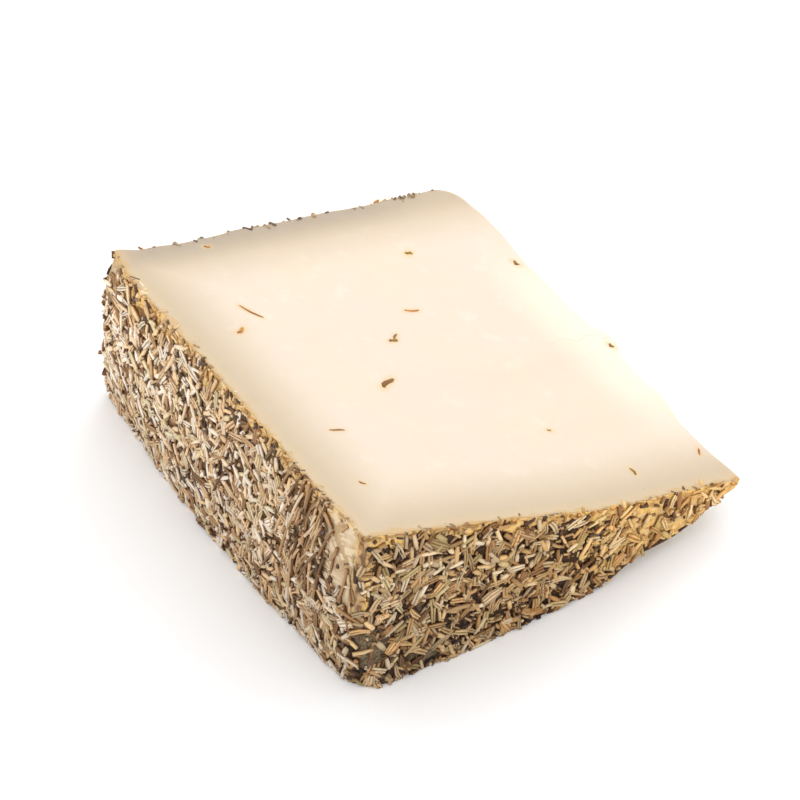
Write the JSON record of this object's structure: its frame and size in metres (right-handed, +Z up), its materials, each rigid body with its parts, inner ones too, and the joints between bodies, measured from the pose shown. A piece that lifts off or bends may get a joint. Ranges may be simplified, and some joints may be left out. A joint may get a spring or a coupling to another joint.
{
  "type": "rosemary manchego wedge",
  "caption": "Wedge of pale sheep's milk cheese lying on a cut face, crusted with clipped dried rosemary on its three rind faces, with leaves caught in the cut face.",
  "frame": {"origin": "on the flat resting cut face, near the middle of the wedge's plan", "axes": "+Z up from the resting cut face to the upper cut face, +X from the rind of the wheel's side to the blunt tip, +Y from one flat face of the wheel to the other"},
  "size_m": [0.0998, 0.1132, 0.0418],
  "materials": {
    "cheese": "matte"
  },
  "bodies": {
    "root": {"manchego_wedge": "cheese"}
  },
  "joints": []
}
